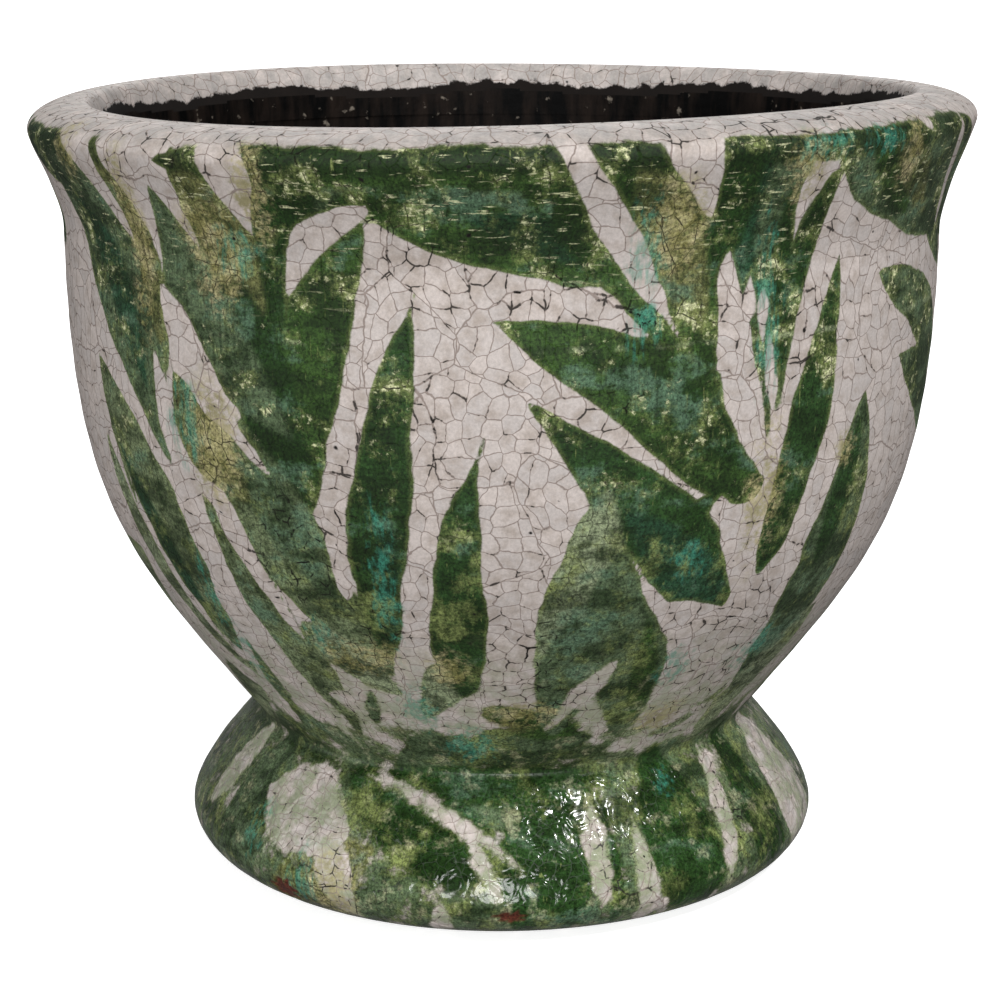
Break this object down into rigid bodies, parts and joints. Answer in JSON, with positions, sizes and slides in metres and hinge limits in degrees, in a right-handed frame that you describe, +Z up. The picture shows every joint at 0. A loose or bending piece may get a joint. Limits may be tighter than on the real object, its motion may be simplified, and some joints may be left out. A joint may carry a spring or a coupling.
{
  "type": "urn planter",
  "caption": "Round footed urn planter in crackle-glazed earthenware: deep bowl with a thick rolled rim on a hollow flared foot, with a drain hole and a pull-out rubber stopper.",
  "frame": {"origin": "centre of the foot's standing ring, on the surface that the urn stands on", "axes": "+Z up along the urn's axis; the urn is turned about Z, and the side in the picture faces -Y"},
  "size_m": [0.31, 0.31, 0.2579],
  "materials": {
    "fired_clay": "bare fired clay",
    "luting_slip": "bare fired slip",
    "crackle_glaze": "satin to glossy crackle glaze, white with green leaves",
    "dark_wash": "matt dark brown wash",
    "stopper_rubber": "moulded, matt"
  },
  "bodies": {
    "pot": {"foot": "fired_clay", "waist_seam": "luting_slip", "bowl": "fired_clay", "rim_seam": "luting_slip", "rim_coil": "fired_clay", "rim_glaze": "crackle_glaze", "bowl_glaze": "crackle_glaze", "foot_glaze": "crackle_glaze", "inner_coat": "dark_wash"},
    "stopper": {"drain_stopper": "stopper_rubber"}
  },
  "joints": [
    {"name": "stopper_pull", "type": "slide", "parent": "pot", "child": "stopper", "axis": [0, 0, 1], "range_m": [0, 0.215]}
  ]
}
